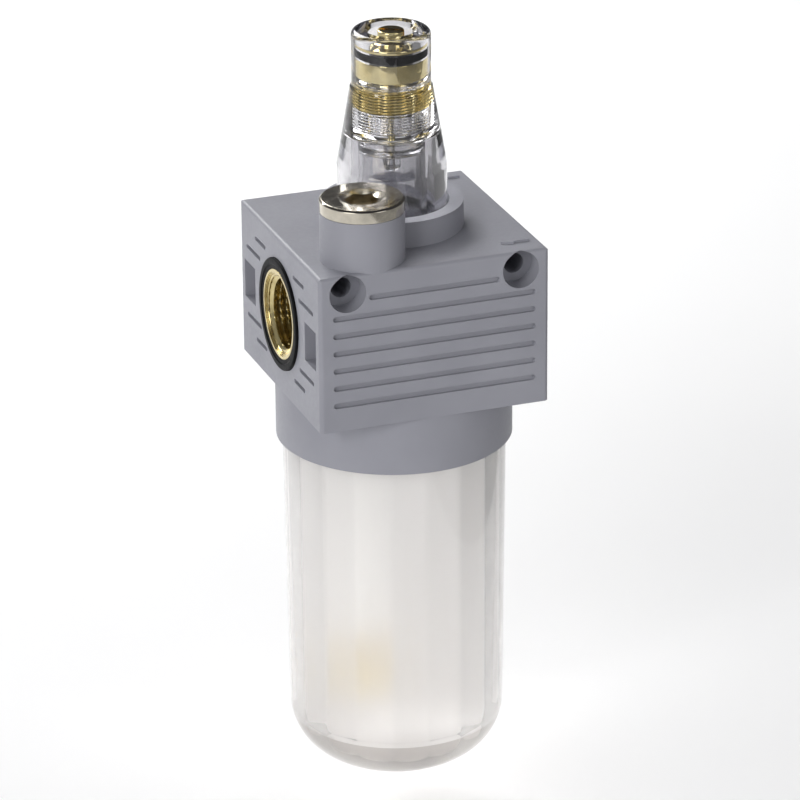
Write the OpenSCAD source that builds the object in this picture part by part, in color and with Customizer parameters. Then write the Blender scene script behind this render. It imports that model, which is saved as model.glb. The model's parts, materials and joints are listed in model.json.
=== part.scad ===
// Air line lubricator: moulded body with two threaded ports, sight dome, fill plug and screw-on bowl.
// The origin is under the middle of the bowl, +Z is up and air flows from the +X port to the -X port.

/* [Body] */
// Width of the block, from port face to port face
block_w = 63; // [62:0.2:66]
// Depth of the block, from front face to rear face
block_d = 63.2; // [63:0.2:66]
// Height of the block above the port axis
block_up = 21; // [20.5:0.1:22]
// Height of the block below the port axis
block_down = 21.6; // [21:0.1:24]
// Height of the round collar under the block
collar_h = 15.5; // [15:0.5:18]
// Radius of the block's upright edges
corner_r = 1.2; // [0.8:0.1:3]
// Radius of the block's top edges
top_edge_r = 1.1; // [0.8:0.1:2.5]

/* [Ports] */
// Minor diameter of the port thread
port_d = 18.6; // [18:0.1:19]
// Major diameter of the port thread
port_major_d = 21; // [20.8:0.1:21.4]
// Length of each threaded insert
insert_l = 17.4; // [16.4:0.2:17.4]
// Outer diameter of each threaded insert
insert_d = 24.2; // [24:0.1:24.6]
// Outer diameter of the face seal around each insert
face_seal_d = 30.2; // [29:0.2:31]

/* [Wall screws] */
// Distance between the two screw holes
screw_span = 47.4; // [47:0.2:48]
// Height of the screw holes above the port axis
screw_up = 16; // [15.8:0.1:16.4]
// Diameter of each screw hole
screw_hole_d = 5.5; // [5.3:0.1:5.8]
// Diameter of the recess for each screw head
screw_head_d = 10; // [9:0.2:10]
// Depth of the recess for each screw head
screw_head_h = 5.5; // [4:0.5:6]

/* [Sight dome] */
// Height of the dome's top above the port axis
dome_top = 74.5; // [73:0.1:76]
// Outer diameter of the dome's lower part
dome_d = 28.92; // [28.8:0.02:29]
// Outer diameter of the dome's upper part
dome_neck_d = 20.8; // [20:0.2:22]
// Outer diameter of the ring around the dome's foot
dome_ring_d = 37.3; // [36.5:0.1:38]
// Height of that ring above the block
dome_ring_h = 7; // [6.5:0.1:7.5]

/* [Fill plug] */
// Distance of the plug's axis to the left of the middle
plug_left = 15.7; // [15.2:0.1:15.8]
// Distance of the plug's axis in front of the middle
plug_front = 20.5; // [20.3:0.1:20.5]
// Diameter of the plug's flange and of the boss under it
plug_flange_d = 22.1; // [22:0.02:22.2]
// Thickness of the plug's flange
plug_flange_h = 3.6; // [3:0.1:4]
// Height of the boss above the block
plug_boss_h = 13.1; // [13:0.1:15]
// Width across the flats of the hexagon socket
plug_socket = 8; // [7:0.5:9]

/* [Bowl] */
// Depth of the bowl's bottom below the port axis
bowl_bottom = 131.5; // [131:0.5:150]
// Outer diameter at the bowl's shoulder
bowl_d = 59.5; // [59:0.1:60]
// Outer diameter just above the rounded bottom
bowl_low_d = 57.6; // [57.5:0.1:58.2]
// Radius of the rounded bottom edge
bowl_round_r = 16.5; // [16.5:0.5:18.5]
// Wall thickness of the bowl
bowl_wall = 2.9; // [2.5:0.1:3.2]

/* [Siphon] */
// Outer diameter of the siphon tube
tube_d = 8; // [7.6:0.2:8.4]
// Outer diameter of the siphon filter
filter_d = 12; // [10:0.5:13]
// Height of the siphon filter
filter_h = 13; // [10:0.5:14]

/* [Hidden] */

$fn = 96;
// Overlap that makes a cut run clean past a face
over = 1;
// Running clearance, on the radius, of a part that slides or turns on another
run_gap = 0.05;
// Clearance, on the radius, between the plain stand-ins for a screw thread
thread_gap = 0.12;

// Heights above the underside of the bowl
port_z = bowl_bottom;
block_low = port_z - block_down;
block_top = port_z + block_up;
collar_low = block_low - collar_h;
ring_top = block_top + dome_ring_h;
boss_top = block_top + plug_boss_h;
top_z = port_z + dome_top;

face_x = block_w / 2;
face_y = block_d / 2;
collar_r = face_x - 0.05;
plug_x = -plug_left;
plug_y = -plug_front;

// Ports and the passage between them
insert_r = insert_d / 2;
insert_proud = 0.45;
insert_out = face_x + insert_proud;
insert_in = insert_out - insert_l;
mouth_h = 1.2;
rib_r = insert_r + 0.9;
rib_in = face_x - 10;
rib_w = 5;
passage_r = 8.6;
gland_r = face_seal_d / 2;
gland_h = 2;
seal_proud = 0.75;

// Seat of the dome in the body
dome_r = dome_d / 2;
dome_bore_r = dome_r + thread_gap;
dome_gap_r = dome_r + 0.54;
dome_gap_h = 5;
dome_floor = port_z + 12;
dome_foot = port_z + 14.6;
cavity_r = 11;
thread_low = port_z + 47.8;
screw_bore_r = 5.8;
screw_out_r = 5.72;
screw_thread_r = 6.9;
screw_thread_top = port_z + 60.2;
// Step in the dome that stops the screw from being turned right out
screw_stop = screw_thread_top + 1.2;
seal_low = port_z + 66.6;

// Sight tube under the dome
sight_r = 9;
sight_bore_r = 7.6;
sight_top = port_z + 44;

// Bowl and the neck that screws into the collar
bowl_r = bowl_d / 2;
bowl_low_r = bowl_low_d / 2;
neck_r = 28;
neck_bore_r = neck_r + 0.3;
neck_top = port_z - 27;
ceiling = port_z - 24.2;
shoulder_top = collar_low - 0.25;
bowl_turn_z = 14.5;
bowl_seal_d = 2.4;

// Passages through the body
siphon_x = -4.4;
siphon_y = 11.2;
siphon_boss_r = 6.4;
siphon_boss_low = ceiling - 6;
fill_x = -13.2;
fill_y = -18.6;
fill_hole_r = 3.4;
jet_x = 12.9;
jet_r = 2.4;
jet_hole_r = 1;
oil_hole_r = 1.2;

// Fill plug and its seat in the boss
plug_thread_r = 8.2;
plug_bore_r = plug_thread_r + thread_gap;
plug_bore_h = 12.8;
plug_seal_room_r = 9.95;
plug_seal_room_h = 1.5;
plug_seal_d = 1.36;

// Parts that hang in the bowl
fitting_r = 3.8;
fitting_h = 9;
fitting_flange_r = 5.4;
fitting_flange_h = 1.6;
fitting_flange_low = siphon_boss_low - fitting_flange_h;
barb_l = 9;
siphon_bore_r = 1;
tube_bore_r = 2.5;
tube_top = fitting_flange_low;
filter_low = port_z - 117;
filter_top = filter_low + filter_h;
filter_bore_r = 3;
ball_r = 1.6;
ball_seat = ceiling - 5;

// Bypass valve around the venturi
venturi_r = 4;
seat_x = 9.2;
seat_t = 2.4;
disc_r = 7.9;
disc_t = 1.8;
disc_x = seat_x - disc_t;
spider_x = -3;
spider_t = 2.6;
spring_gap = 0.1;
throat_x = -6.2;

// Outline of a rectangle with round corners
module round_rect(w, h, r) {
    square([w - 2 * r, h], center = true);
    square([w, h - 2 * r], center = true);
    for (x = [-1, 1], y = [-1, 1])
        translate([x * (w / 2 - r), y * (h / 2 - r)]) circle(r);
}

// Outline whose two upper corners alone are round, standing on y = low
module arch_rect(w, low, high, r) {
    translate([-w / 2, low]) square([w, high - low - r]);
    translate([-w / 2 + r, low]) square([w - 2 * r, high - low]);
    for (x = [-1, 1])
        translate([x * (w / 2 - r), high - r]) circle(r);
}

// Slot outline with round ends, l long and w wide
module slot_2d(l, w) {
    square([l - w, w], center = true);
    for (x = [-1, 1])
        translate([x * (l - w) / 2, 0]) circle(w / 2, $fn = 32);
}

// Turns its children so that their +Z points along +X
module along_x() {
    rotate([90, 0, 90]) children();
}

// Turns its children so that their +Z points along -Y
module along_front() {
    rotate([90, 0, 0]) children();
}

// Torus of round section d, with its middle at radius r and height z
module o_ring(r, d, z) {
    translate([0, 0, z]) rotate_extrude() translate([r, 0]) circle(d / 2, $fn = 32);
}

// Block with round upright and top edges
module block() {
    intersection() {
        translate([0, 0, block_low]) linear_extrude(block_top - block_low)
            round_rect(block_w, block_d, corner_r);
        translate([-face_x - over, 0, 0]) along_x() linear_extrude(block_w + 2 * over)
            arch_rect(block_d, block_low, block_top, top_edge_r);
        translate([0, face_y + over, 0]) along_front() linear_extrude(block_d + 2 * over)
            arch_rect(block_w, block_low, block_top, top_edge_r);
    }
}

// Long grooves across the front and the rear face
module face_grooves() {
    groove_h = 0.9;
    groove_w = 1.5;
    groove_l = 55.6;
    short_l = 35.8;
    top_groove = port_z + 14.3;
    pitch = 4.79;
    for (side = [-1, 1], i = [0:6])
        translate([0, side * (face_y - groove_h), top_groove - i * pitch])
            rotate([-side * 90, 0, 0]) linear_extrude(groove_h + over)
                slot_2d(i == 0 ? short_l : groove_l, groove_w);
}

// Short slots and the coupling pockets on one port face, cut towards +X
module side_cuts() {
    slot_h = 1.2;
    slot_w = 1.2;
    outer_slot_l = 11.4;
    inner_slot_l = 8.6;
    pocket_h = 6;
    pocket_w = 8.6;
    pocket_l = 10.6;
    pocket_y = 24.2;
    for (y = [-1, 1], z = [-1, 1]) {
        translate([face_x - slot_h, y * 21, port_z + z * 9.7])
            along_x() linear_extrude(slot_h + over) slot_2d(outer_slot_l, slot_w);
        translate([face_x - slot_h, y * 15.3, port_z + z * 14.4])
            along_x() linear_extrude(slot_h + over) slot_2d(inner_slot_l, slot_w);
    }
    for (y = [-1, 1])
        translate([face_x - pocket_h, y * pocket_y - pocket_w / 2, port_z - pocket_l / 2])
            cube([pocket_h + over, pocket_w, pocket_l]);
}

// Room for one insert and its face seal, cut towards +X
module port_cuts() {
    translate([insert_in, 0, port_z]) along_x() cylinder(h = insert_l + over, r = insert_r);
    translate([rib_in, 0, port_z]) along_x() cylinder(h = rib_w, r = rib_r);
    translate([face_x - gland_h, 0, port_z]) along_x() cylinder(h = gland_h + over, r = gland_r);
}

// Two raised flow arrows on the top face, pointing to the outlet
module flow_arrows() {
    arrow_x = 20.8;
    arrow_h = 0.6;
    sunk = 0.2;
    head_l = 3.2;
    head_w = 2.6;
    shaft_l = 4.8;
    shaft_w = 0.8;
    for (y = [-24.5, 26.3])
        translate([arrow_x, y, block_top - sunk]) linear_extrude(arrow_h + sunk) {
            polygon([[0, 0], [head_l, head_w / 2], [head_l, -head_w / 2]]);
            translate([head_l - sunk, -shaft_w / 2]) square([shaft_l, shaft_w]);
        }
}

// Block with collar, dome ring, fill boss and arrows, before anything is cut
module moulded_shape() {
    block();
    translate([0, 0, collar_low]) cylinder(h = collar_h + 2, r = collar_r);
    translate([0, 0, block_top - 2]) cylinder(h = dome_ring_h + 2, r = dome_ring_d / 2);
    translate([plug_x, plug_y, block_top - 4])
        cylinder(h = plug_boss_h + 4, r = plug_flange_d / 2 - 0.02);
    flow_arrows();
}

// Two holes from front to back, each with a recess for its screw head
module wall_screw_cuts() {
    for (x = [-1, 1]) translate([x * screw_span / 2, 0, port_z + screw_up]) {
        translate([0, face_y + over, 0]) along_front()
            cylinder(h = block_d + 2 * over, d = screw_hole_d);
        translate([0, screw_head_h - face_y, 0]) along_front()
            cylinder(h = screw_head_h + over, d = screw_head_d);
    }
}

// Threaded seat of the dome, and the wider room above it where its seal sits and lifts out
module dome_seat_cuts() {
    translate([0, 0, dome_floor]) cylinder(h = ring_top - dome_floor + over, r = dome_bore_r);
    translate([0, 0, ring_top - dome_gap_h])
        cylinder(h = dome_gap_h + boss_top - ring_top + over, r = dome_gap_r);
}

// Threaded bore of the fill plug, room for its seal and the passage down to the bowl
module plug_cuts() {
    translate([plug_x, plug_y, boss_top - plug_bore_h])
        cylinder(h = plug_bore_h + over, r = plug_bore_r);
    translate([plug_x, plug_y, boss_top - plug_seal_room_h])
        cylinder(h = plug_seal_room_h + over, r = plug_seal_room_r);
    translate([fill_x, fill_y, ceiling - over])
        cylinder(h = boss_top - ceiling - 8, r = fill_hole_r);
}

// Room in the collar for the bowl's neck, around the boss of the siphon fitting
module collar_room() {
    difference() {
        translate([0, 0, collar_low - over])
            cylinder(h = ceiling - collar_low + over, r = neck_bore_r);
        translate([siphon_x, siphon_y, siphon_boss_low]) cylinder(h = 8, r = siphon_boss_r);
    }
}

// Ways for the oil up to the drip and down to the throat, and for air down to the bowl
module oil_passages() {
    translate([siphon_x, siphon_y, siphon_boss_low - over]) cylinder(h = 9.2 + over, r = fitting_r);
    translate([siphon_x, siphon_y, ceiling - over])
        cylinder(h = dome_floor - ceiling + 2, r = oil_hole_r);
    translate([throat_x, 0, port_z]) cylinder(h = dome_floor - port_z + over, r = oil_hole_r);
    translate([jet_x, 0, ceiling - over]) cylinder(h = 6 + over, r = jet_r);
    translate([jet_x, 0, ceiling]) cylinder(h = port_z - ceiling, r = jet_hole_r);
}

module body() {
    color("#9496a2") difference() {
        moulded_shape();
        face_grooves();
        side_cuts();
        mirror([1, 0, 0]) side_cuts();
        port_cuts();
        mirror([1, 0, 0]) port_cuts();
        translate([-insert_in - over, 0, port_z])
            along_x() cylinder(h = 2 * (insert_in + over), r = passage_r);
        wall_screw_cuts();
        dome_seat_cuts();
        plug_cuts();
        collar_room();
        oil_passages();
    }
}

// Threaded insert with a locking rib, its mouth towards +X
module port_insert() {
    difference() {
        union() {
            translate([insert_in, 0, port_z]) along_x() cylinder(h = insert_l, r = insert_r);
            translate([rib_in, 0, port_z]) along_x() cylinder(h = rib_w, r = rib_r);
        }
        translate([insert_in - over, 0, port_z])
            along_x() cylinder(h = insert_l + 2 * over, d = port_d);
        translate([insert_out - mouth_h, 0, port_z]) along_x()
            cylinder(h = mouth_h + over, r1 = port_d / 2, r2 = port_major_d / 2 + over);
    }
}

module inlet_insert() {
    color("#c9a14a") port_insert();
}

module outlet_insert() {
    color("#c9a14a") mirror([1, 0, 0]) port_insert();
}

// Flat ring seal with round edges, lying in the gland of the +X port
module face_seal() {
    w = gland_r - insert_r - 0.1;
    h = gland_h + seal_proud;
    translate([face_x - gland_h, 0, port_z]) along_x() rotate_extrude()
        translate([insert_r + 0.05 + w / 2, h / 2]) round_rect(w, h, 0.6, $fn = 32);
}

module inlet_seal() {
    color("#202124") face_seal();
}

module outlet_seal() {
    color("#202124") mirror([1, 0, 0]) face_seal();
}

// Tube with a narrow throat, carried in the passage by a ring with four spokes
module venturi_tube() {
    tube_in = 12.6;
    tube_out = -10.4;
    mouth_r = 3.1;
    outlet_r = 2.6;
    throat_r = 1.7;
    throat_l = 3;
    spoke_w = 1.4;
    color("#e6e2d6")
    difference() {
        union() {
            translate([0, 0, port_z]) along_x() rotate_extrude() polygon([
                [mouth_r, tube_in], [venturi_r, tube_in], [venturi_r, tube_out],
                [outlet_r, tube_out], [throat_r, throat_x - throat_l / 2],
                [throat_r, throat_x + throat_l / 2]
            ]);
            translate([spider_x, 0, port_z]) along_x() difference() {
                cylinder(h = spider_t, r = passage_r);
                translate([0, 0, -over]) cylinder(h = spider_t + 2 * over, r = 7.4);
            }
            for (a = [45:90:315])
                translate([spider_x, 0, port_z]) rotate([a, 0, 0])
                    translate([0.3, -spoke_w / 2, 3]) cube([spider_t - 0.6, spoke_w, 5]);
        }
        translate([throat_x, 0, port_z]) cylinder(h = 6, r = oil_hole_r);
    }
}

// Ring that the bypass disc closes against
module bypass_seat() {
    color("#b8924a") translate([seat_x + 0.02, 0, port_z]) along_x() difference() {
        cylinder(h = seat_t, r = passage_r);
        translate([0, 0, -over]) cylinder(h = seat_t + 2 * over, r = 6.6);
    }
}

// Disc that slides on the venturi tube and opens as the flow grows
module bypass_disc() {
    color("#d9d4c4") translate([disc_x, 0, port_z]) along_x() difference() {
        cylinder(h = disc_t, r = disc_r);
        translate([0, 0, -over]) cylinder(h = disc_t + 2 * over, r = venturi_r + run_gap);
    }
}

// Point at angle t on a ring of the spring wire, at angle a around the axis and height h
function coil_point(r, w, a, t, h) =
    [(r + w * cos(t)) * cos(a), (r + w * cos(t)) * sin(a), h + w * sin(t)];

// Round wire of radius w wound to radius r, n turns over height h
module coil(r, w, n, h) {
    steps = 20;
    sides = 8;
    rings = n * steps;
    points = [for (i = [0:rings], j = [0:sides - 1])
        coil_point(r, w, 360 * i / steps, 360 * j / sides, w + (h - 2 * w) * i / rings)];
    walls = [for (i = [0:rings - 1], j = [0:sides - 1]) let (k = (j + 1) % sides)
        [i * sides + j, (i + 1) * sides + j, (i + 1) * sides + k, i * sides + k]];
    ends = [[for (j = [0:sides - 1]) j], [for (j = [sides - 1:-1:0]) rings * sides + j]];
    polyhedron(points, concat(walls, ends), convexity = 10);
}

module bypass_spring() {
    spring_x = spider_x + spider_t + spring_gap;
    coil_r = 5.6;
    wire_r = 0.35;
    turns = 4;
    color("#b9bcc0") translate([spring_x, 0, port_z])
        along_x() coil(coil_r, wire_r, turns, disc_x - spring_x - spring_gap);
}

// Fine tube that leads the oil from under the drip to the throat
module capillary_tube() {
    color("#c9a14a") translate([throat_x, 0, port_z]) difference() {
        translate([0, 0, 2.2]) cylinder(h = dome_floor - port_z - 2.2, r = oil_hole_r);
        cylinder(h = 20, r = 0.5, $fn = 32);
    }
}

// Jet that lets a little inlet air press on the oil in the bowl
module air_jet() {
    color("#c9a14a") translate([jet_x, 0, 0]) difference() {
        union() {
            translate([0, 0, ceiling]) cylinder(h = 5.6, r = jet_r);
            translate([0, 0, ceiling - 2]) cylinder(h = 2, r = 3.2, $fn = 6);
        }
        translate([0, 0, ceiling - 2 - over]) cylinder(h = 12, r = 0.4, $fn = 32);
        translate([0, 0, ceiling + 2.6]) cylinder(h = 6, r = jet_hole_r, $fn = 32);
    }
}

// Clear inner tube: oil climbs outside it and drips inside it
module sight_tube() {
    color("#dfe3e6", 0.5) difference() {
        union() {
            translate([0, 0, dome_floor]) cylinder(h = 1.8, r = 10.6);
            translate([0, 0, dome_floor]) cylinder(h = sight_top - dome_floor, r = sight_r);
        }
        translate([0, 0, dome_floor - over])
            cylinder(h = sight_top - dome_floor - 2 + over, r = sight_bore_r);
        translate([0, 0, sight_top - 5]) cylinder(h = 6, r = 2.8);
        o_ring(9.3, 1.3, dome_floor + 0.1);
    }
}

module sight_tube_seal() {
    color("#202124") intersection() {
        o_ring(9.3, 1.2, dome_floor + 0.1);
        translate([0, 0, dome_floor]) cylinder(h = 5, r = 20);
    }
}

// Clear nozzle, pressed into the roof of the sight tube, that forms the drops
module drip_nozzle() {
    nozzle_low = port_z + 36;
    color("#e8ecee", 0.6) difference() {
        union() {
            translate([0, 0, nozzle_low]) cylinder(h = sight_top - nozzle_low, r = 2.4);
            translate([0, 0, sight_top - 2]) cylinder(h = 2, r = 2.8);
        }
        translate([0, 0, nozzle_low - over]) cylinder(h = 12, r = 0.5, $fn = 32);
        translate([0, 0, sight_top - 3]) cylinder(h = 3 + over, r = 1.4);
    }
}

// Outline of the dome's outer surface, from foot to top
module dome_outline() {
    neck_r_out = dome_neck_d / 2;
    edge = 1.2;
    step = 0.4;
    cone_low = port_z + 37.9;
    cone_top = port_z + 59.4;
    polygon([
        [0, dome_foot], [dome_r, dome_foot], [dome_r, cone_low], [neck_r_out + step, cone_top],
        [neck_r_out, cone_top + step], [neck_r_out, top_z - edge],
        [neck_r_out - edge, top_z - edge], [neck_r_out - edge, top_z], [0, top_z]
    ]);
    translate([neck_r_out - edge, top_z - edge]) intersection() {
        circle(edge);
        square(edge);
    }
}

module sight_dome() {
    color("#e3e7ea", 0.4) difference() {
        rotate_extrude() dome_outline();
        translate([0, 0, dome_foot - over])
            cylinder(h = thread_low - 0.9 - dome_foot + over, r = cavity_r);
        translate([0, 0, thread_low - 2])
            cylinder(h = screw_stop - thread_low + 2, r = screw_thread_r + thread_gap);
        translate([0, 0, screw_stop - over]) cylinder(h = top_z - screw_stop + 2 * over, r = screw_bore_r);
        translate([0, 0, top_z - 1]) cylinder(h = 1 + over, r1 = screw_bore_r, r2 = screw_bore_r + 1.8);
        translate([0, 0, ring_top - 3.7]) difference() {
            cylinder(h = 2.3, r = dome_r + over);
            translate([0, 0, -over]) cylinder(h = 5, r = 12.9);
        }
    }
}

module dome_seal() {
    color("#202124") o_ring(13.96, 2, ring_top - 2.55);
}

// Slotted brass screw whose long point meters the oil into the nozzle
module oil_screw() {
    color("#d0aa52") difference() {
        rotate_extrude() polygon([
            [0, port_z + 43.4], [0.3, port_z + 43.4], [0.9, port_z + 45.5], [0.9, port_z + 53],
            [6.4, port_z + 53], [screw_thread_r, port_z + 53.6], [screw_thread_r, screw_thread_top],
            [screw_out_r, screw_thread_top], [screw_out_r, seal_low],
            [4.4, seal_low], [4.4, seal_low + 2.9], [screw_out_r, seal_low + 2.9],
            [screw_out_r, seal_low + 3.9], [3.5, seal_low + 3.9], [3.5, top_z - 0.5],
            [3.2, top_z - 0.2], [0, top_z - 0.2]
        ]);
        rotate([0, 0, -32]) translate([-5, -0.5, top_z - 2]) cube([10, 1, 3]);
    }
}

module oil_screw_seal() {
    color("#202124") translate([0, 0, seal_low + 0.05]) rotate_extrude()
        translate([5.11, 1.4]) round_rect(1.34, 2.8, 0.5, $fn = 32);
}

module fill_plug() {
    socket_h = 6;
    thread_l = 11.6;
    color("#cfc6b2") translate([plug_x, plug_y, boss_top]) difference() {
        union() {
            rotate_extrude() polygon([
                [0, 0], [plug_flange_d / 2, 0], [plug_flange_d / 2, plug_flange_h - 0.6],
                [plug_flange_d / 2 - 0.6, plug_flange_h], [0, plug_flange_h]
            ]);
            translate([0, 0, -thread_l]) cylinder(h = thread_l + 1, r = plug_thread_r);
        }
        translate([0, 0, plug_flange_h - socket_h]) rotate([0, 0, -20])
            cylinder(h = socket_h + over, r = plug_socket / 2 / cos(30), $fn = 6);
        translate([0, 0, plug_flange_h - 0.9]) cylinder(h = 0.9 + over, r1 = 4.9, r2 = 7.2);
    }
}

module fill_plug_seal() {
    color("#202124") translate([plug_x, plug_y, 0]) o_ring(9.15, plug_seal_d, boss_top - 0.72);
}

// Half outline of a round-bottomed cup: radius r1 at height z1, r2 at z2, bottom round of radius e
module cup_2d(r1, z1, r2, z2, e, low) {
    arc_c = r2 - sqrt(e * e - pow(z2 - low - e, 2));
    polygon([[0, low], [arc_c, low], [arc_c, z2], [r2, z2], [r1, z1], [0, z1]]);
    translate([arc_c, low + e]) intersection() {
        circle(e);
        translate([0, -e]) square([e, z2 - low]);
    }
}

module bowl() {
    color("#eceeef", 0.5) difference() {
        union() {
            rotate_extrude() cup_2d(bowl_r, shoulder_top, bowl_low_r, bowl_turn_z, bowl_round_r, 0);
            translate([0, 0, shoulder_top - 4]) cylinder(h = neck_top - shoulder_top + 4, r = neck_r);
        }
        rotate_extrude() cup_2d(bowl_r - bowl_wall - 0.7, neck_top + over, bowl_low_r - bowl_wall,
            bowl_turn_z, bowl_round_r - bowl_wall, bowl_wall);
    }
}

// Ring that lies on the bowl's rim, under the roof of the collar
module bowl_seal() {
    color("#202124") o_ring(26.6, bowl_seal_d, neck_top + 0.05 + bowl_seal_d / 2);
}

// Barbed fitting that holds the siphon tube and the seat of the check ball
module siphon_fitting() {
    color("#c9a14a") translate([siphon_x, siphon_y, 0]) difference() {
        union() {
            translate([0, 0, siphon_boss_low]) cylinder(h = fitting_h, r = fitting_r);
            translate([0, 0, fitting_flange_low])
                cylinder(h = fitting_flange_h, r = fitting_flange_r);
            translate([0, 0, fitting_flange_low - barb_l])
                cylinder(h = barb_l + over, r = tube_bore_r - run_gap);
        }
        translate([0, 0, fitting_flange_low - barb_l - over]) cylinder(h = 40, r = siphon_bore_r);
        translate([0, 0, ball_seat]) cylinder(h = 20, r = 2.1);
    }
}

// Ball that rests on the edge of the fitting's bore and stops the oil running back
module check_ball() {
    seat_rise = sqrt(ball_r * ball_r - siphon_bore_r * siphon_bore_r);
    color("#c8ccd0") translate([siphon_x, siphon_y, ball_seat + seat_rise + 0.03]) sphere(ball_r);
}

module siphon_tube() {
    tube_low = filter_top + 3;
    color("#e9eaea", 0.7) translate([siphon_x, siphon_y, tube_low]) difference() {
        cylinder(h = tube_top - tube_low, r = tube_d / 2);
        translate([0, 0, -over]) cylinder(h = tube_top - tube_low + 2 * over, r = tube_bore_r);
    }
}

// Stem that plugs the filter into the foot of the tube
module filter_stem() {
    color("#c9a14a") translate([siphon_x, siphon_y, filter_top]) difference() {
        union() {
            cylinder(h = 3, r = 5);
            cylinder(h = 11, r = tube_bore_r);
            translate([0, 0, -4]) cylinder(h = 4, r = filter_bore_r);
        }
        translate([0, 0, -5]) cylinder(h = 20, r = siphon_bore_r);
    }
}

module siphon_filter() {
    color("#c2a873") translate([siphon_x, siphon_y, filter_low]) difference() {
        cylinder(h = filter_h, d = filter_d);
        translate([0, 0, 2]) cylinder(h = filter_h, r = filter_bore_r);
    }
}

body();
inlet_insert();
outlet_insert();
inlet_seal();
outlet_seal();
venturi_tube();
bypass_seat();
bypass_disc();
bypass_spring();
capillary_tube();
air_jet();
sight_tube();
sight_tube_seal();
drip_nozzle();
sight_dome();
dome_seal();
oil_screw();
oil_screw_seal();
fill_plug();
fill_plug_seal();
bowl();
bowl_seal();
siphon_fitting();
check_ball();
siphon_tube();
filter_stem();
siphon_filter();
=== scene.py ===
"""Air line lubricator: visible pieces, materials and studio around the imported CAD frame."""
import json
import math

import bmesh
import bpy
from mathutils import Matrix, Vector


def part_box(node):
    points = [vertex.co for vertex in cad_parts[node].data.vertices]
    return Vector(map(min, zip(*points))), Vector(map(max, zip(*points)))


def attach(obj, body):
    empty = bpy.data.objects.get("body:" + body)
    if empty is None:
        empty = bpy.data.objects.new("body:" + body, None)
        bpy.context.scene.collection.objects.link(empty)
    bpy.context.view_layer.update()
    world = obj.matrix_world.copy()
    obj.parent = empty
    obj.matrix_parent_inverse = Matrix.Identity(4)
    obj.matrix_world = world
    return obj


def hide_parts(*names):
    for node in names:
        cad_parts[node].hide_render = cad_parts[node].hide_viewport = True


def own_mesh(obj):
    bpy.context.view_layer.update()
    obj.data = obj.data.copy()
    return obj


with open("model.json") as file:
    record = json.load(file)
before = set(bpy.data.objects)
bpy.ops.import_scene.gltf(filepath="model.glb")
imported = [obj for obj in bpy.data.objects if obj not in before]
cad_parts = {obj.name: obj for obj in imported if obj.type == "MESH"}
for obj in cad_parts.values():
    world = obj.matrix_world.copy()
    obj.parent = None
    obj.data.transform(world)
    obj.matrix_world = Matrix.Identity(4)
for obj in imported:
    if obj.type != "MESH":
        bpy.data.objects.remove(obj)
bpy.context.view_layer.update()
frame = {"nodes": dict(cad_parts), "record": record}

# ---------------------------------------------------------------- sizes, in millimetres

MM = 0.001
TURN = 2 * math.pi


def box_mm(node):
    """Lowest and highest corner of a CAD node, in millimetres."""
    low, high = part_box(node)
    return Vector(low) / MM, Vector(high) / MM


def mount_mm(name):
    """Position of a mount, in millimetres."""
    return Vector(next(m["pos_m"] for m in frame["record"]["mounts"] if m["name"] == name)) / MM


BODY_LOW, BODY_HIGH = box_mm("body")
PLUG_LOW, PLUG_HIGH = box_mm("fill_plug")
DOME_LOW, DOME_HIGH = box_mm("sight_dome")
SCREW_LOW, SCREW_HIGH = box_mm("oil_screw")
RING_LOW, RING_HIGH = box_mm("oil_screw_seal")
BOWL_LOW, BOWL_HIGH = box_mm("bowl")
INSERT_LOW, INSERT_HIGH = box_mm("inlet_insert")
SEAL_LOW, SEAL_HIGH = box_mm("inlet_seal")

# Height of the block above the port axis, and the size of the ring that holds the dome
BLOCK_UP = 21
DOME_RING_H = 7
DOME_RING_R = 18.65

PORT_Z = mount_mm("inlet_port").z
BOSS_TOP = BODY_HIGH.z
BLOCK_TOP = PORT_Z + BLOCK_UP
RING_TOP = BLOCK_TOP + DOME_RING_H
PLUG_X = (PLUG_LOW.x + PLUG_HIGH.x) / 2
PLUG_Y = (PLUG_LOW.y + PLUG_HIGH.y) / 2
BOSS_R = (PLUG_HIGH.x - PLUG_LOW.x) / 2


# ---------------------------------------------------------------- materials

def node_material(name, **shader_values):
    """New material with a Principled shader; returns it, its node tree and the shader."""
    made = bpy.data.materials.new(name)
    made.use_nodes = True
    tree = made.node_tree
    shader = tree.nodes["Principled BSDF"]
    for socket, value in shader_values.items():
        shader.inputs[socket.replace("_", " ")].default_value = value
    return made, tree, shader


def object_point(tree, offset=(0, 0, 0), scale=(1, 1, 1)):
    """Object coordinates in metres, moved by offset and stretched by scale."""
    coords = tree.nodes.new("ShaderNodeTexCoord")
    mapping = tree.nodes.new("ShaderNodeMapping")
    mapping.inputs["Location"].default_value = offset
    mapping.inputs["Scale"].default_value = scale
    tree.links.new(coords.outputs["Object"], mapping.inputs["Vector"])
    return mapping.outputs["Vector"]


def noise(tree, point, scale, detail=2.0, roughness=0.5):
    """Noise texture's grey output; scale is in features per metre."""
    texture = tree.nodes.new("ShaderNodeTexNoise")
    texture.inputs["Scale"].default_value = scale
    texture.inputs["Detail"].default_value = detail
    texture.inputs["Roughness"].default_value = roughness
    tree.links.new(point, texture.inputs["Vector"])
    return texture.outputs["Fac"]


def spread(tree, value, low, high, from_low=0.3, from_high=0.7):
    """Maps value from one range to another, clamped."""
    mapped = tree.nodes.new("ShaderNodeMapRange")
    mapped.inputs["From Min"].default_value = from_low
    mapped.inputs["From Max"].default_value = from_high
    mapped.inputs["To Min"].default_value = low
    mapped.inputs["To Max"].default_value = high
    tree.links.new(value, mapped.inputs["Value"])
    return mapped.outputs["Result"]


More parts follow.
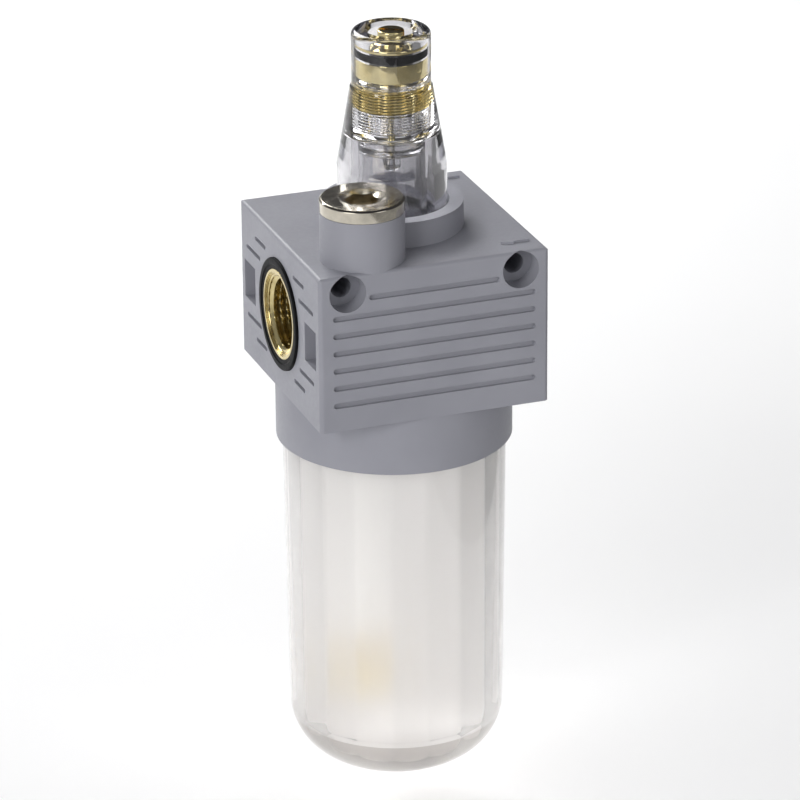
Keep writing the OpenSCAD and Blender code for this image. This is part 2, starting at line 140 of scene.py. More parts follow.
def two_colours(tree, value, dark, light):
    """Colour that runs from dark to light as value runs from 0.3 to 0.7."""
    ramp = tree.nodes.new("ShaderNodeValToRGB")
    ramp.color_ramp.elements[0].position = 0.3
    ramp.color_ramp.elements[1].position = 0.7
    ramp.color_ramp.elements[0].color = (*dark, 1)
    ramp.color_ramp.elements[1].color = (*light, 1)
    tree.links.new(value, ramp.inputs["Fac"])
    return ramp.outputs["Color"]


def bump(tree, shader, height, distance, strength=1.0, below=None):
    """Bump of that height, in metres, on the shader; below is a bump to add it to."""
    made = tree.nodes.new("ShaderNodeBump")
    made.inputs["Distance"].default_value = distance
    made.inputs["Strength"].default_value = strength
    tree.links.new(height, made.inputs["Height"])
    if below is not None:
        tree.links.new(below, made.inputs["Normal"])
    tree.links.new(made.outputs["Normal"], shader.inputs["Normal"])
    return made.outputs["Normal"]


def moulded_plastic(name, dark, light, roughness, grain=4200, grain_depth=0.00002):
    """Injection-moulded plastic: fine spark-eroded grain, faint flow marks and uneven gloss."""
    made, tree, shader = node_material(name, IOR=1.5, Specular_IOR_Level=0.35)
    point = object_point(tree)
    flow = noise(tree, point, 45, 3)
    tree.links.new(two_colours(tree, flow, dark, light), shader.inputs["Base Color"])
    gloss = noise(tree, point, 900, 2)
    tree.links.new(spread(tree, gloss, roughness - 0.05, roughness + 0.05), shader.inputs["Roughness"])
    waves = bump(tree, shader, noise(tree, point, 160, 2), 0.00004, 0.5)
    bump(tree, shader, noise(tree, point, grain, 3, 0.6), grain_depth, 0.6, waves)
    return made


RINGS_PER_METRE = 1500


def turned_metal(name, dark, light, roughness, axis="Z", middle=(0, 0, 0)):
    """Turned metal: fine tool rings round one axis, faint stains and uneven polish."""
    made, tree, shader = node_material(name, Metallic=1.0, IOR=1.5)
    point = object_point(tree)
    stain = noise(tree, point, 260, 4, 0.6)
    tree.links.new(two_colours(tree, stain, dark, light), shader.inputs["Base Color"])
    polish = noise(tree, point, 700, 3)
    tree.links.new(spread(tree, polish, roughness - 0.03, roughness + 0.05), shader.inputs["Roughness"])
    wave = tree.nodes.new("ShaderNodeTexWave")
    wave.wave_type = "RINGS"
    wave.rings_direction = axis
    wave.inputs["Scale"].default_value = RINGS_PER_METRE
    wave.inputs["Distortion"].default_value = 2
    wave.inputs["Detail"].default_value = 2
    centred = object_point(tree, tuple(-c * MM for c in middle))
    tree.links.new(centred, wave.inputs["Vector"])
    bump(tree, shader, wave.outputs["Fac"], 0.000003, 0.3)
    return made


def rubber(name):
    """Black moulded rubber with a faint bloom and a dusty, uneven sheen."""
    made, tree, shader = node_material(name, IOR=1.5, Specular_IOR_Level=0.04)
    point = object_point(tree)
    bloom = noise(tree, point, 700, 4, 0.65)
    black = two_colours(tree, bloom, (0.003, 0.003, 0.004), (0.008, 0.008, 0.009))
    tree.links.new(black, shader.inputs["Base Color"])
    tree.links.new(spread(tree, bloom, 0.34, 0.5), shader.inputs["Roughness"])
    bump(tree, shader, noise(tree, point, 3000, 3), 0.00002, 0.5)
    return made


def clear_plastic(name, colour, roughness, waviness):
    """Clear moulded polycarbonate with slight surface waves and faint handling haze."""
    made, tree, shader = node_material(name, IOR=1.585, Transmission_Weight=1.0, Base_Color=(*colour, 1))
    point = object_point(tree)
    haze = noise(tree, point, 500, 4, 0.7)
    tree.links.new(spread(tree, haze, roughness * 0.5, roughness * 1.8), shader.inputs["Roughness"])
    bump(tree, shader, noise(tree, point, 220, 2), waviness, 0.6)
    return made


def frosted_plastic(name, colour, roughness, clarity, coat):
    """Translucent moulded plastic: hazy, with faint flow lines drawn along the mould."""
    made, tree, shader = node_material(
        name, IOR=1.5, Transmission_Weight=clarity, Base_Color=(*colour, 1),
        Coat_Weight=coat, Coat_Roughness=0.05
    )
    drawn = object_point(tree, scale=(1, 1, 0.08))
    streak = noise(tree, drawn, 500, 3, 0.6)
    tree.links.new(spread(tree, streak, roughness * 0.85, roughness * 1.15), shader.inputs["Roughness"])
    bump(tree, shader, noise(tree, drawn, 160, 2), 0.00001, 0.3)
    return made


def sintered(name):
    """Sintered bronze: small fused balls, paler on their tops and darker between them."""
    made, tree, shader = node_material(name, Metallic=0.3, IOR=1.5)
    cells = tree.nodes.new("ShaderNodeTexVoronoi")
    cells.inputs["Scale"].default_value = 2200
    tree.links.new(object_point(tree), cells.inputs["Vector"])
    height = spread(tree, cells.outputs["Distance"], 1.0, 0.0, 0.0, 0.8)
    bronze = two_colours(tree, height, (0.58, 0.45, 0.16), (0.88, 0.76, 0.42))
    tree.links.new(bronze, shader.inputs["Base Color"])
    tree.links.new(spread(tree, height, 0.7, 0.42), shader.inputs["Roughness"])
    bump(tree, shader, height, 0.00012, 0.8)
    return made


GREY_PLASTIC = moulded_plastic("grey_plastic", (0.262, 0.264, 0.298), (0.296, 0.298, 0.334), 0.46)
INNER_PLASTIC = moulded_plastic("inner_plastic", (0.66, 0.63, 0.55), (0.74, 0.71, 0.63), 0.4)
TUBE_NYLON = moulded_plastic("tube_nylon", (0.82, 0.82, 0.80), (0.88, 0.88, 0.86), 0.35)
BRASS = turned_metal("brass", (0.66, 0.50, 0.22), (0.78, 0.62, 0.30), 0.2)
BRASS_PORT = turned_metal("brass_port", (0.50, 0.41, 0.19), (0.74, 0.63, 0.34), 0.2, "X", (0, 0, PORT_Z))
BRASS_BRIGHT = turned_metal("brass_bright", (0.70, 0.59, 0.29), (0.84, 0.74, 0.42), 0.09)
NICKEL = turned_metal("nickel", (0.52, 0.485, 0.41), (0.71, 0.66, 0.56), 0.14, "Z", (PLUG_X, PLUG_Y, 0))
STEEL = turned_metal("steel", (0.56, 0.57, 0.58), (0.68, 0.69, 0.70), 0.22)
RUBBER = rubber("rubber")
DOME_CLEAR = clear_plastic("dome_clear", (0.72, 0.715, 0.735), 0.015, 0.00003)
INNER_CLEAR = clear_plastic("inner_clear", (0.84, 0.84, 0.85), 0.05, 0.00002)
BOWL_OUTSIDE = frosted_plastic("bowl_outside", (1.0, 0.993, 0.988), 0.08, 1.0, 0.3)
BOWL_INSIDE = frosted_plastic("bowl_inside", (0.745, 0.73, 0.72), 0.5, 0.68, 0.0)
# Painted shade: a darker copy of the bowl's outside plastic, put on the outside of the bottom in place of the
# shade beneath the bowl
BOWL_PAINTED_SHADE = frosted_plastic("bowl_foot_painted_shade", (0.50, 0.475, 0.455), 0.08, 1.0, 0.3)
SINTERED = sintered("sintered_bronze")


# ---------------------------------------------------------------- mesh helpers

def add_object(name, mesh, material, body, replaced=()):
    """Links a mesh as a piece with one material, riding on a body."""
    made = bpy.data.objects.new(name, mesh)
    bpy.context.scene.collection.objects.link(made)
    mesh.materials.clear()
    mesh.materials.append(material)
    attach(made, body)
    if replaced:
        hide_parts(*replaced)
    return made


def let_light_in(*pieces):
    """Lets the lamps shine through clear pieces onto what they hold."""
    for piece in pieces:
        piece.visible_shadow = False


def smooth(mesh, angle=35):
    """Smooth shading, with edges sharper than angle kept sharp."""
    mesh.shade_smooth()
    mesh.set_sharp_from_angle(angle=math.radians(angle))


def at(value, angle):
    """A number, or a function of the angle."""
    return value(angle) if callable(value) else value


def lathe(name, section, spin=128, closed=True, place=None):
    """Mesh turned about Z from (r, z) points in millimetres; r or z may be functions of the angle.

    A closed section is a loop. A point with r = 0 becomes a single vertex on the axis.
    place is a function from a point in millimetres to its place in millimetres.
    """
    verts, faces, rings = [], [], []
    for r, z in section:
        if r == 0:
            rings.append([len(verts)] * spin)
            verts.append(Vector((0, 0, z)))
            continue
        rings.append([len(verts) + i for i in range(spin)])
        for i in range(spin):
            angle = TURN * i / spin
            radius = at(r, angle)
            verts.append(Vector((radius * math.cos(angle), radius * math.sin(angle), at(z, angle))))
    pairs = list(zip(rings, rings[1:]))
    if closed:
        pairs.append((rings[-1], rings[0]))
    for low, high in pairs:
        for i in range(spin):
            j = (i + 1) % spin
            corners = [low[i], low[j], high[j], high[i]]
            face = list(dict.fromkeys(corners))
            if len(face) > 2:
                faces.append(face)
    if place is not None:
        verts = [place(v) for v in verts]
    mesh = bpy.data.meshes.new(name)
    mesh.from_pydata([v * MM for v in verts], [], faces)
    turned = bmesh.new()
    turned.from_mesh(mesh)
    bmesh.ops.recalc_face_normals(turned, faces=turned.faces)
    turned.to_mesh(mesh)
    turned.free()
    smooth(mesh)
    return mesh


def rounded(points, steps=5, closed=True):
    """Outline whose corners (x, y, radius) are replaced by arcs; radius 0 keeps the corner."""
    made = []
    count = len(points)
    for i, (x, y, radius) in enumerate(points):
        here = Vector((x, y))
        if radius == 0 or (not closed and i in (0, count - 1)):
            made.append((x, y))
            continue
        before = (Vector(points[i - 1][:2]) - here).normalized()
        after = (Vector(points[(i + 1) % count][:2]) - here).normalized()
        half = before.angle(after) / 2
        middle = here + (before + after).normalized() * (radius / math.sin(half))
        start = here + before * (radius / math.tan(half)) - middle
        end = here + after * (radius / math.tan(half)) - middle
        sweep = start.angle_signed(end)
        for k in range(steps + 1):
            turn = -sweep * k / steps
            p = Vector((
                start.x * math.cos(turn) - start.y * math.sin(turn),
                start.x * math.sin(turn) + start.y * math.cos(turn),
            )) + middle
            made.append((p.x, p.y))
    return made


# Share of a thread's height that is flat at the root, and again at the crest
THREAD_FLAT = 0.14


def thread(base, depth, low, high, pitch, per_pitch=14, run_out=0.6):
    """Section points of a right-hand screw thread: radius base at the root, base + depth at the crest.

    An inside thread has a negative depth, and its crests lie in the roots of the outside thread.
    """
    first = math.ceil(low / pitch * per_pitch)
    last = math.floor(high / pitch * per_pitch)
    shift = 0.5 if depth < 0 else 0.0

    def radius_at(z):
        fade = max(0.0, min(1.0, (z - low) / run_out, (high - z) / run_out))

        def radius(angle):
            phase = (z / pitch - angle / TURN + shift) % 1
            ridge = 1 - abs(2 * phase - 1)
            flank = max(0.0, min(1.0, (ridge - THREAD_FLAT) / (1 - 2 * THREAD_FLAT)))
            return base + depth * fade * flank
        return radius

    heights = [i * pitch / per_pitch for i in range(first, last + 1)]
    return [(radius_at(z), z) for z in heights]


def apply_modifiers(piece):
    """Replaces a piece's mesh by its evaluated one and drops the modifiers."""
    graph = bpy.context.evaluated_depsgraph_get()
    made = bpy.data.meshes.new_from_object(piece.evaluated_get(graph))
    piece.modifiers.clear()
    piece.data = made


def cut(piece, low, high, turn=0.0):
    """Cuts a box, given by two corners in millimetres and turned about Z, out of a piece."""
    mesh = bpy.data.meshes.new("cutter")
    block = bmesh.new()
    bmesh.ops.create_cube(block, size=1)
    size = Vector(high) - Vector(low)
    middle = (Vector(high) + Vector(low)) / 2
    for v in block.verts:
        v.co = Vector((v.co.x * size.x, v.co.y * size.y, v.co.z * size.z)) + middle
    bmesh.ops.rotate(block, verts=block.verts, cent=(0, 0, 0), matrix=Matrix.Rotation(turn, 3, "Z"))
    bmesh.ops.scale(block, verts=block.verts, vec=(MM, MM, MM))
    block.to_mesh(mesh)
    block.free()
    cutter = bpy.data.objects.new("cutter", mesh)
    bpy.context.scene.collection.objects.link(cutter)
    knife = piece.modifiers.new("cut", "BOOLEAN")
    knife.object = cutter
    knife.operation = "DIFFERENCE"
    knife.solver = "EXACT"
    apply_modifiers(piece)
    bpy.data.objects.remove(cutter)
    smooth(piece.data)


# ---------------------------------------------------------------- body

# Widths of the roundings on the body's edges, and the angle that makes an edge sharp
FOOT_ROUND = 0.8
RING_ROUND = 0.45
OUTER_ROUND = 0.34
TOP_ROUND = 0.22
INNER_ROUND = 0.1
SHARP = math.radians(28)
NEAR = 0.1


def edge_width(middle, concave):
    """Width, in millimetres, of the rounding on one sharp edge of the body."""
    from_boss = math.hypot(middle.x - PLUG_X, middle.y - PLUG_Y)
    from_axis = math.hypot(middle.x, middle.y)
    on_boss = abs(from_boss - BOSS_R) < NEAR and middle.z > BLOCK_TOP - 3
    on_ring = abs(from_axis - DOME_RING_R) < NEAR and middle.z > BLOCK_TOP - NEAR
    if (on_boss or on_ring) and concave and middle.z < BLOCK_TOP + NEAR:
        return FOOT_ROUND
    if on_ring and middle.z > RING_TOP - NEAR:
        return RING_ROUND
    if concave:
        return INNER_ROUND
    on_top = middle.z > BLOCK_TOP - NEAR / 2 and not (on_boss or on_ring)
    return TOP_ROUND if on_top else OUTER_ROUND


def body_casting():
    """Body with every moulded edge rounded: wide at the feet of boss and ring, fine at grooves."""
    source = frame["nodes"]["body"].data
    shape = bmesh.new()
    shape.from_mesh(source)
    bmesh.ops.remove_doubles(shape, verts=shape.verts, dist=1e-6)
    bmesh.ops.dissolve_limit(shape, angle_limit=math.radians(0.5), verts=shape.verts, edges=shape.edges)
    weights = shape.edges.layers.float.new("bevel_weight_edge")
    for edge in shape.edges:
        if not edge.is_manifold or abs(edge.calc_face_angle(0)) < SHARP:
            continue
        middle = (edge.verts[0].co + edge.verts[1].co) / 2 / MM
        edge[weights] = edge_width(middle, not edge.is_convex)
    mesh = bpy.data.meshes.new("body_casting")
    shape.to_mesh(mesh)
    shape.free()
    mesh.shade_smooth()
    piece = add_object("body_casting", mesh, GREY_PLASTIC, "frame", ["body"])
    soften = piece.modifiers.new("edges", "BEVEL")
    soften.limit_method = "WEIGHT"
    soften.width = MM
    soften.segments = 3
    soften.use_clamp_overlap = True
    normals = piece.modifiers.new("normals", "WEIGHTED_NORMAL")
    normals.keep_sharp = True
    return piece


body_casting()


# ---------------------------------------------------------------- ports

def towards_face(side):
    """Place of a point of a port part: local +Z runs out of the port face."""
    return lambda v: Vector((side * v.z, side * v.x, PORT_Z + v.y))


# Radius at which the face seal's lip meets the insert
SEAL_LIP_R = 12.05
# G1/2 thread: radii at crest and root, and pitch
G_MINOR_R = 9.32
G_MAJOR_R = 10.46
G_PITCH = 1.814
# Fine steps turned in the mouth of the insert
MOUTH_STEPS = 3
MOUTH_STEP_W = 0.24
MOUTH_STEP_H = 0.25


def port_insert(name, side, replaced):
    """Brass insert with a G1/2 thread behind a mouth turned in three fine steps."""
    inner = INSERT_LOW.x
    outer = INSERT_HIGH.x
    outer_r = 12.08
    lip_r = SEAL_LIP_R - 0.05
    thread_end = outer - 0.8
    mouth = [
        (G_MAJOR_R + 0.05 + MOUTH_STEP_W * (i + edge), outer - MOUTH_STEP_H * (MOUTH_STEPS - i), 0.03)
        for i in range(MOUTH_STEPS) for edge in (0, 1)
    ]
    section = thread(G_MAJOR_R, G_MINOR_R - G_MAJOR_R, inner + 0.4, thread_end, G_PITCH, 32, 0.3)
    section += rounded(mouth + [
        (mouth[-1][0], outer, 0.05), (lip_r, outer, 0.1), (lip_r, outer - 0.5, 0.05),
        (outer_r, outer - 0.5, 0.1), (outer_r, inner, 0.2), (G_MAJOR_R + 0.1, inner, 0)
    ], closed=False)
    mesh = lathe(name, section, 144, place=towards_face(side))
    return add_object(name, mesh, BRASS_PORT, "frame", [replaced])


def port_seal(name, side, replaced):
    """Ring seal that stands proud of the port face, with a raised bead round its outer edge."""
    back = SEAL_LOW.x
    front = SEAL_HIGH.x
    face = front - 0.25
    bead = front - 0.01
    inner_r = 12.15
    bead_r = inner_r + 0.9
    outer_r = SEAL_HIGH.y - 0.02
    lip = INSERT_HIGH.x - 0.45
    section = rounded([
        (inner_r, back, 0.3), (inner_r, lip, 0.05), (SEAL_LIP_R, lip, 0.1), (SEAL_LIP_R, face, 0.15),
        (bead_r, face, 0.15), (bead_r + 0.3, bead, 0.15), (outer_r, bead, 0.4), (outer_r, back, 0.3)
    ])
    mesh = lathe(name, section, 144, place=towards_face(side))
    return add_object(name, mesh, RUBBER, "frame", [replaced])


for side, end in ((1, "inlet"), (-1, "outlet")):
    port_insert(end + "_threaded_insert", side, end + "_insert")
    port_seal(end + "_face_seal", side, end + "_seal")


# ---------------------------------------------------------------- fill plug

def hexagon(across_flats, turn):
    """Radius of a hexagon, with a corner at the angle turn, as a function of the angle."""
    def radius(angle):
        return across_flats / 2 / math.cos(((angle - turn) % (TURN / 6)) - TURN / 12)
    return radius


SOCKET_FLATS = 8
PLUG_PITCH = 1.337


def fill_plug_turned():
    """Plated plug: flange with a broken edge, chamfered hexagon socket and a screw thread."""
    top = PLUG_HIGH.z
    seat = BOSS_TOP
    low = PLUG_LOW.z
    flange_r = BOSS_R - 0.02
    socket = hexagon(SOCKET_FLATS, math.radians(-20))
    sink_r = 6.1
    sink_slope = 0.42
    socket_low = top - 6
    section = [(0, socket_low - 0.8), (3.2, socket_low)]
    section += [(socket, socket_low), (socket, lambda a: top - (sink_r - socket(a)) * sink_slope)]
    section += rounded([
        (5.9, top - 0.08, 0), (sink_r + 0.1, top, 0.1), (flange_r - 0.5, top, 0.15),
        (flange_r, top - 0.5, 0.15), (flange_r, seat + 0.05, 0.15),
        (7.6, seat + 0.05, 0.1), (7.6, seat - 1.3, 0)
    ], closed=False)
    section += list(reversed(thread(7.4, 0.78, low + 0.5, seat - 1.4, PLUG_PITCH, 14, 0.7)))
    section += [(7.0, low), (0, low)]
    mesh = lathe("fill_plug_turned", section, 144, closed=False,
                 place=lambda v: Vector((v.x + PLUG_X, v.y + PLUG_Y, v.z)))
    return add_object("fill_plug_turned", mesh, NICKEL, "fill_plug", ["fill_plug"])


fill_plug_turned()


# ---------------------------------------------------------------- sight dome

SCREW_PITCH = 0.8
BORE_R = 5.8
THREAD_R = 7.04
THREAD_DEPTH = 0.5
THREAD_TOP = PORT_Z + 60.2
SCREW_STOP = THREAD_TOP + 1.2
CAVITY_R = 11.0
# Bottom of the ring groove in the oil screw
GROOVE_R = 4.4
# Overlap of a part pressed against the dome, so that it shows magnified by the dome
SQUEEZE = 0.02


def dome_moulding():
    """Clear dome: tapered outside with a small step under the neck, threaded bore, wide drip chamber."""
    foot = DOME_LOW.z
    top = DOME_HIGH.z
    foot_r = DOME_HIGH.x - 0.02
    neck_r = 10.4
    step = PORT_Z + 59.6
    groove_low = RING_TOP - 3.7
    groove_high = groove_low + 2.3
    groove_r = 12.9
    roof = PORT_Z + 46.9
    mouth_r = BORE_R + 0.9
    bore_r = BORE_R + SQUEEZE
    outside = rounded([
        (CAVITY_R + 0.3, foot, 0.2), (foot_r, foot, 0.3), (foot_r, groove_low, 0.15),
        (groove_r, groove_low, 0.15), (groove_r, groove_high, 0.15), (foot_r, groove_high, 0.15),
        (foot_r, PORT_Z + 37.9, 5.0), (neck_r + 0.4, step - 0.3, 0.25), (neck_r, step + 0.4, 0.3),
        (neck_r, top, 1.5), (mouth_r, top, 0.2), (bore_r, top - 1.0, 0.2), (bore_r, SCREW_STOP, 0)
    ], steps=8, closed=False)
    bore = thread(THREAD_R, -THREAD_DEPTH, roof + 0.9, SCREW_STOP - 0.1, SCREW_PITCH, 14, 0.4)
    bore.reverse()
    inside = rounded([
        (THREAD_R + 0.2, roof + 0.6, 0), (THREAD_R + 0.7, roof, 0.2), (CAVITY_R - 0.2, roof, 0.7),
        (CAVITY_R, foot + 0.4, 0.2), (CAVITY_R + 0.3, foot, 0)
    ], steps=6, closed=False)
    mesh = lathe("dome_moulding", outside + bore + inside[:-1], 160)
    return add_object("dome_moulding", mesh, DOME_CLEAR, "dome", ["sight_dome"])


def sight_tube_moulding():
    """Clear inner tube that guides the drops, with a flange at its foot and a pierced roof."""
    low, high = box_mm("sight_tube")
    foot = low.z + 0.02
    flange = low.z + 1.8
    top = high.z
    section = rounded([
        (7.6, foot, 0.2), (10.6, foot, 0.3), (10.6, flange, 0.4), (9.0, flange, 0.6),
        (8.9, top, 0.8), (2.85, top, 0.2), (2.85, top - 2, 0.2), (7.5, top - 2, 0.8)
    ], steps=5)
    mesh = lathe("sight_tube_moulding", section, 128)
    return add_object("sight_tube_moulding", mesh, INNER_CLEAR, "frame", ["sight_tube"])


def drip_nozzle_moulding():
    """Small clear nozzle with a rounded tip that forms the drops."""
    low, high = box_mm("drip_nozzle")
    tip = low.z
    top = high.z
    section = rounded([
        (0.5, tip, 0.15), (1.9, tip, 0.3), (2.35, tip + 0.7, 0.4), (2.35, top - 2, 0.2), (2.8, top - 2, 0.15),
        (2.8, top, 0.2), (1.4, top, 0.2), (1.4, top - 3, 0.3), (0.5, top - 3.6, 0.2)
    ], steps=4)
    mesh = lathe("drip_nozzle_moulding", section, 96)
    return add_object("drip_nozzle_moulding", mesh, INNER_CLEAR, "frame", ["drip_nozzle"])


def oil_screw_turned():
    """Brass screw: slotted head, ring groove, plain land, thread and long metering point."""
    groove = RING_LOW.z - 0.05
    groove_top = groove + 2.9
    shoulder = groove + 3.9
    point = SCREW_LOW.z
    top = SCREW_HIGH.z
    land_r = BORE_R + 2 * SQUEEZE
    thread_low = PORT_Z + 53
    thread_base = THREAD_R - THREAD_DEPTH + SQUEEZE
    section = [(0, point)] + rounded([
        (0.3, point, 0), (0.9, PORT_Z + 45.5, 0.3), (0.9, thread_low, 0.3),
        (6.2, thread_low, 0.2), (thread_base, thread_low + 0.3, 0)
    ], closed=False)
    section += thread(thread_base, THREAD_DEPTH, thread_low + 0.35, THREAD_TOP, SCREW_PITCH, 14, 0.2)
    section += rounded([
        (thread_base - 0.2, THREAD_TOP, 0), (5.3, THREAD_TOP, 0.15), (5.3, SCREW_STOP, 0.1),
        (land_r, SCREW_STOP + 0.3, 0.1), (land_r, groove, 0.15), (GROOVE_R, groove, 0.1),
        (GROOVE_R, groove_top, 0.1), (land_r, groove_top, 0.15), (land_r, shoulder, 0.25),
        (3.5, shoulder, 0.2), (3.5, top, 0.3), (2.5, top, 0)
    ], closed=False)
    section += [(0, top)]
    mesh = lathe("oil_screw_turned", section, 160, closed=False)
    piece = add_object("oil_screw_turned", mesh, BRASS_BRIGHT, "oil_screw", ["oil_screw"])
    cut(piece, (-6, -0.5, top - 1.8), (6, 0.5, top + 1), math.radians(-32))
    return piece


def oil_screw_ring():
    """Ring seal pressed flat against the dome's bore, so it shows magnified by the dome."""
    inner_r = GROOVE_R + 0.04
    outer_r = BORE_R + 2 * SQUEEZE
    section = rounded([
        (inner_r, RING_LOW.z, 0.5), (outer_r, RING_LOW.z, 0.5),
        (outer_r, RING_HIGH.z, 0.5), (inner_r, RING_HIGH.z, 0.5)
    ], steps=6)
    mesh = lathe("oil_screw_ring", section, 128)
    return add_object("oil_screw_ring", mesh, RUBBER, "oil_screw_seal", ["oil_screw_seal"])


let_light_in(dome_moulding(), sight_tube_moulding(), drip_nozzle_moulding())
oil_screw_turned()
oil_screw_ring()


# ---------------------------------------------------------------- bowl

FLUTES = 18
FLUTED_R = 26.1
NECK_R = 28.0
INSIDE_RINGS = 24


def flute(radius):
    """Radius of a round wall with flat flutes, as a function of the angle."""
    step = TURN / FLUTES
    flat = radius * math.cos(step / 2)

    def fluted(angle):
        return min(radius - 0.03, flat / math.cos(((angle + math.radians(12)) % step) - step / 2))
    return fluted


def bowl_moulding():
    """Translucent bowl: round outside with a turned-in bottom, flat flutes inside, and painted shade on the
    outside of the bottom.
    """
    low = BOWL_LOW.z
    neck_top = BOWL_HIGH.z
    shoulder = BODY_LOW.z - 0.25
    shoulder_r = BOWL_HIGH.x
    turn_z = low + 14.5
    turn_r = 28.8
    round_r = 16.5
    foot_r = turn_r - math.sqrt(round_r ** 2 - (turn_z - low - round_r) ** 2)
    wall = 2.9
    arc_steps = 20
    first = math.asin((turn_z - low - round_r) / round_r)

    def bottom(radius, centre_r, centre_z, start):
        """Quarter round from the side wall to the bottom."""
        made = []
        for k in range(arc_steps + 1):
            a = start + (-math.pi / 2 - start) * k / arc_steps
            made.append((centre_r + radius * math.cos(a), centre_z + radius * math.sin(a)))
        return made

    neck_thread = thread(27.1, 0.85, shoulder + 1, neck_top - 1.2, 2.0, 14, 1.0)
    rim = rounded([
        (27.6, neck_top - 0.8, 0), (27.6, neck_top, 0.3), (26.3, neck_top, 0.4), (FLUTED_R, neck_top - 3, 0)
    ], closed=False)
    flutes_top = neck_top - 6
    inside = [
        (flute(FLUTED_R), flutes_top - (flutes_top - turn_z) * k / INSIDE_RINGS)
        for k in range(INSIDE_RINGS + 1)
    ]
    inner_arc = bottom(round_r - wall, foot_r, low + round_r, first)
    inner_bottom = []
    for r, z in inner_arc[1:]:
        fade = max(0.0, min(1.0, (z - low - 6) / 8))
        fluted = flute(r)
        inner_bottom.append((lambda a, r=r, f=fluted, w=fade: r + (f(a) - r) * w, z))
    dish = [(foot_r * 0.5, low + wall), (0, low + wall)]
    dished = low + 0.35
    outer = [(0, dished)] + rounded([
        (foot_r * 0.75, dished, 0), (foot_r * 0.82, low, 0.3), (foot_r - 0.2, low, 0)
    ], closed=False)
    outer += list(reversed(bottom(round_r, foot_r, low + round_r, first)))
    outer += [(turn_r + 0.02, turn_z + 0.25)]
    outer += rounded([
        (turn_r + 0.03, turn_z + 0.5, 0), (shoulder_r, shoulder, 0.5), (NECK_R, shoulder, 0.1)
    ], closed=False)
    skin = outer + [(NECK_R, shoulder + 1)] + neck_thread + rim
    spin = 180
    mesh = lathe("bowl_moulding", skin + inside + inner_bottom + dish, spin, closed=False)
    piece = add_object("bowl_moulding", mesh, BOWL_OUTSIDE, "bowl", ["bowl"])
    mesh.materials.append(BOWL_INSIDE)
    mesh.materials.append(BOWL_PAINTED_SHADE)
    # Outside faces below the turn get the painted-shade copy, darker than the rest of the outside
    for face in mesh.polygons:
        inner = face.index // spin >= len(skin) - 1
        below = face.center.z < (turn_z - 1) * MM
        face.material_index = 1 if inner else 2 if below else 0
    return piece


let_light_in(bowl_moulding())


# ---------------------------------------------------------------- inner parts kept from the CAD

def give(material, *nodes):
    """Puts a material on CAD nodes that keep their own shape."""
    for name in nodes:
        for holder in frame["nodes"][name].material_slots:
            holder.material = material


give(INNER_PLASTIC, "venturi_tube", "bypass_disc")
give(BRASS, "bypass_seat", "capillary_tube", "air_jet", "siphon_fitting", "filter_stem")
give(STEEL, "check_ball")
give(RUBBER, "sight_tube_seal", "dome_seal", "fill_plug_seal", "bowl_seal")
give(TUBE_NYLON, "siphon_tube")
give(SINTERED, "siphon_filter")


# ---------------------------------------------------------------- bypass spring


def bypass_coil():
    """Coil of the bypass spring: a copy of the CAD coil, riding on the frame."""
    mesh = frame["nodes"]["bypass_spring"].data.copy()
    coil = add_object("bypass_coil", mesh, STEEL, "frame", ["bypass_spring"])
    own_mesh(coil)


bypass_coil()


# ---------------------------------------------------------------- studio

CAMERA_AZIMUTH = math.radians(-20.028)


def studio_world():
    """Dim room, lighter towards the left and the horizon than overhead and on the right."""
    world = bpy.data.worlds.new("studio")
    bpy.context.scene.world = world
    world.use_nodes = True
    tree = world.node_tree
    background = tree.nodes["Background"]
    coords = tree.nodes.new("ShaderNodeTexCoord")
    split = tree.nodes.new("ShaderNodeSeparateXYZ")
    ramp = tree.nodes.new("ShaderNodeValToRGB")
    ramp.color_ramp.elements[0].position = 0.0
    ramp.color_ramp.elements[0].color = (0.30, 0.30, 0.30, 1)
    ramp.color_ramp.elements[1].position = 0.42
    ramp.color_ramp.elements[1].color = (0.045, 0.045, 0.05, 1)
    rightward = tree.nodes.new("ShaderNodeMath")
    rightward.operation = "MULTIPLY_ADD"
    rightward.inputs[1].default_value = 0.4
    tree.links.new(coords.outputs["Generated"], split.inputs["Vector"])
    tree.links.new(split.outputs["X"], rightward.inputs[0])
    tree.links.new(split.outputs["Z"], rightward.inputs[2])
    tree.links.new(rightward.outputs["Value"], ramp.inputs["Fac"])
    tree.links.new(ramp.outputs["Color"], background.inputs["Color"])
    background.inputs["Strength"].default_value = 1.0


def soft_light(name, place, target, size, power, beam=180):
    """Rectangular soft light at place, facing target; beam is the width of its beam in degrees."""
    light = bpy.data.lights.new(name, "AREA")
    light.shape = "RECTANGLE"
    light.size, light.size_y = size
    light.energy = power
    light.spread = math.radians(beam)
    holder = bpy.data.objects.new(name, light)
    holder.location = place
    holder.rotation_euler = (Vector(target) - Vector(place)).to_track_quat("-Z", "Y").to_euler()
    bpy.context.scene.collection.objects.link(holder)


# Way that the bowl comes down as it is screwed off
BOWL_DROP = 8.2


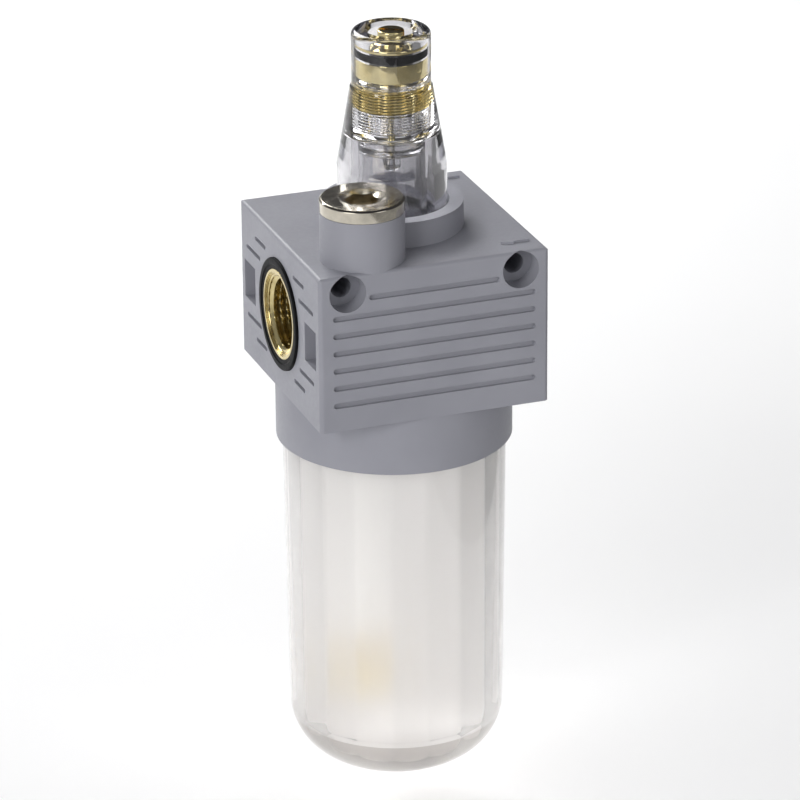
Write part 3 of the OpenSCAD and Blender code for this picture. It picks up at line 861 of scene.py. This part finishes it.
def floor():
    """Plain pale table, low enough for the bowl to come down on its thread above it.

    Its sides lie along the camera's view, with an edge on the right.
    """
    made, tree, shader = node_material("floor", Roughness=0.6)
    tone = noise(tree, object_point(tree), 6, 2)
    pale = two_colours(tree, tone, (0.93, 0.93, 0.93), (0.95, 0.95, 0.95))
    tree.links.new(pale, shader.inputs["Base Color"])
    shader.inputs["Specular IOR Level"].default_value = 0.1
    mesh = bpy.data.meshes.new("floor")
    left, right, front, back = -1.3, 0.22, -0.8, 1.4
    corners = [(left, front, 0), (right, front, 0), (right, back, 0), (left, back, 0)]
    mesh.from_pydata(corners, [], [(0, 1, 2, 3)])
    mesh.materials.append(made)
    plane = bpy.data.objects.new("floor", mesh)
    plane.location.z = -(BOWL_DROP + 0.3) * MM
    plane.rotation_euler.z = CAMERA_AZIMUTH
    bpy.context.scene.collection.objects.link(plane)


def camera():
    """Long-lens camera, above and to the left of the front."""
    azimuth, elevation, roll = CAMERA_AZIMUTH, math.radians(22.92), math.radians(-0.459)
    distance = 1.26476
    aside, above = -0.001835, 0.026896
    back = Vector((
        math.sin(azimuth) * math.cos(elevation), -math.cos(azimuth) * math.cos(elevation), math.sin(elevation)
    ))
    level = Vector((math.cos(azimuth), math.sin(azimuth), 0))
    upright = back.cross(level)
    right = math.cos(roll) * level + math.sin(roll) * upright
    up = -math.sin(roll) * level + math.cos(roll) * upright
    lens = bpy.data.cameras.new("camera")
    lens.sensor_width = 36
    lens.lens = 216.27
    holder = bpy.data.objects.new("camera", lens)
    holder.rotation_mode = "QUATERNION"
    holder.rotation_quaternion = Matrix((right, up, back)).transposed().to_quaternion()
    holder.location = Vector((0, 0, PORT_Z * MM)) + distance * back - aside * right - above * up
    lens.clip_start, lens.clip_end = 0.05, 50
    bpy.context.scene.collection.objects.link(holder)
    bpy.context.scene.camera = holder


def render_look():
    """Colour handling and light paths that the clear parts need."""
    scene = bpy.context.scene
    scene.view_settings.view_transform = "Standard"
    scene.view_settings.look = "None"
    scene.cycles.max_bounces = 24
    scene.cycles.transmission_bounces = 20
    scene.cycles.glossy_bounces = 8
    scene.cycles.diffuse_bounces = 4
    scene.cycles.transparent_max_bounces = 16
    scene.cycles.use_denoising = True
    scene.cycles.sample_clamp_indirect = 8


studio_world()
soft_light("key", (-1.3, -0.95, 0.74), (0, 0, 0.12), (0.9, 1.0), 18.5)
soft_light("front", (0.9, -1.4, 0.6), (0, 0, 0.1), (0.8, 0.8), 7.6)
soft_light("overhead", (0.1, 0.35, 1.5), (0.1, 0.35, 0), (1.0, 0.8), 3)
soft_light("backdrop", (-0.15, 1.1, 0.85), (0.16, 0.33, 0), (0.9, 0.6), 7.5, beam=120)
floor()
camera()
render_look()
